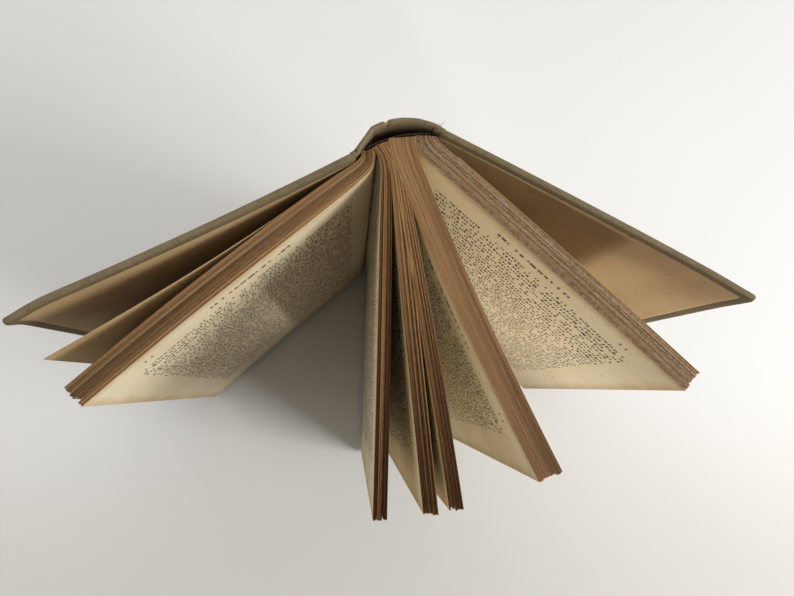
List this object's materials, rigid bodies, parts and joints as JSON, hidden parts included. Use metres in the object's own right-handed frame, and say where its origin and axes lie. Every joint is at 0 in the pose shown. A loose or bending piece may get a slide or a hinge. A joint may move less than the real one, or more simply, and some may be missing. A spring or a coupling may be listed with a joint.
{
  "type": "open book",
  "caption": "Small worn cloth-cased hardback book standing on its tail edges, covers splayed and leaves fanned in groups from a rounded back.",
  "frame": {"origin": "middle of the bounding box, on the surface the book stands on", "axes": "+Z from tail to head of the book, +Y towards the spine, +X towards the back cover"},
  "size_m": [0.2146, 0.1138, 0.167],
  "materials": {
    "leaves": "aged uncoated paper, browned at the edges",
    "endpaper": "toned endpaper, mottled",
    "lining_paper": "kraft lining",
    "mull": "open starched cotton",
    "spine_card": "thin card",
    "board": "grey-brown binder's board",
    "book_cloth": "worn olive-khaki book cloth"
  },
  "bodies": {
    "root": {"text_block": "leaves", "front_free_endpaper": "endpaper", "back_free_endpaper": "endpaper", "spine_mull": "mull", "spine_lining": "lining_paper", "spine_inlay": "spine_card", "spine_cloth": "book_cloth"},
    "front_cover": {"front_board": "board", "front_cover_cloth": "book_cloth", "front_pastedown": "endpaper"},
    "back_cover": {"back_board": "board", "back_cover_cloth": "book_cloth", "back_pastedown": "endpaper"}
  },
  "joints": [
    {"name": "front_cover_hinge", "type": "hinge", "parent": "root", "child": "front_cover", "pos_m": [-0.01204, 0.04654, 0], "axis": [0, 0, -1], "range_deg": [-4, 90]},
    {"name": "back_cover_hinge", "type": "hinge", "parent": "root", "child": "back_cover", "pos_m": [0.01331, 0.05441, 0], "axis": [0, 0, 1], "range_deg": [-4, 90]}
  ]
}
